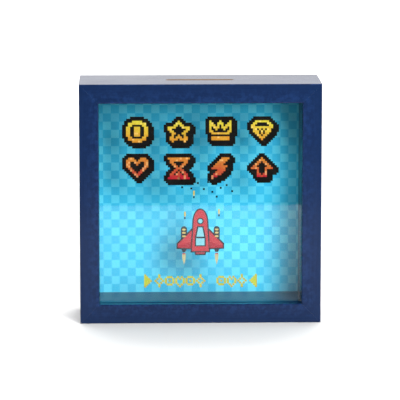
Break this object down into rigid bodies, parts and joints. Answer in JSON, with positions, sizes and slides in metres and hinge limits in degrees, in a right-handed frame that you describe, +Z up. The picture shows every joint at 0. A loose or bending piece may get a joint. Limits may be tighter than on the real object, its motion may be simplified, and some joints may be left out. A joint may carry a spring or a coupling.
{
  "type": "box-frame money bank",
  "caption": "Square box-frame coin bank: mitred blue rails, a glass front, a checkered card behind it, a coin slot in the top and a lift-out back locked by turn-buttons.",
  "frame": {"origin": "middle of the base, at the height of the surface it stands on", "axes": "+X to the right seen from the front, +Y from the glass front to the back, +Z up"},
  "size_m": [0.15, 0.05, 0.15],
  "materials": {
    "blue_foil_mdf": "MDF wrapped in dark blue foil with a fine wood grain, satin",
    "nail_steel": "plain steel strip, dull",
    "glass": "clear 2 mm float glass with an opaque print on its rear face",
    "printed_card": "card printed with a two-tone cyan checker, satin",
    "hardboard": "plain brown hardboard, matt",
    "zinc_steel": "zinc-plated pressed steel, satin",
    "rivet_steel": "bright nickel-plated steel",
    "hanger_steel": "brass-plated pressed steel, satin"
  },
  "bodies": {
    "frame": {"frame_top_rail": "blue_foil_mdf", "frame_bottom_rail": "blue_foil_mdf", "frame_left_rail": "blue_foil_mdf", "frame_right_rail": "blue_foil_mdf", "glass_pane": "glass", "v_nail_top_left": "nail_steel", "v_nail_top_right": "nail_steel", "v_nail_bottom_left": "nail_steel", "v_nail_bottom_right": "nail_steel"},
    "back": {"back_panel": "hardboard", "printed_card": "printed_card", "button_rivet_top": "rivet_steel", "button_rivet_bottom": "rivet_steel", "button_rivet_left": "rivet_steel", "button_rivet_right": "rivet_steel", "sawtooth_hanger": "hanger_steel", "hanger_rivet_left": "rivet_steel", "hanger_rivet_right": "rivet_steel"},
    "button_top": {"turn_button_top": "zinc_steel"},
    "button_bottom": {"turn_button_bottom": "zinc_steel"},
    "button_left": {"turn_button_left": "zinc_steel"},
    "button_right": {"turn_button_right": "zinc_steel"}
  },
  "joints": [
    {"name": "back_lift_out", "type": "slide", "parent": "frame", "child": "back", "axis": [0, 1, 0], "range_m": [0, 0.06]},
    {"name": "button_top_turn", "type": "hinge", "parent": "back", "child": "button_top", "pos_m": [0, 0.0195, 0.129], "axis": [0, -1, 0], "continuous": true},
    {"name": "button_bottom_turn", "type": "hinge", "parent": "back", "child": "button_bottom", "pos_m": [0, 0.0195, 0.021], "axis": [0, 1, 0], "continuous": true},
    {"name": "button_left_turn", "type": "hinge", "parent": "back", "child": "button_left", "pos_m": [-0.054, 0.0195, 0.075], "axis": [0, 1, 0], "continuous": true},
    {"name": "button_right_turn", "type": "hinge", "parent": "back", "child": "button_right", "pos_m": [0.054, 0.0195, 0.075], "axis": [0, -1, 0], "continuous": true}
  ]
}
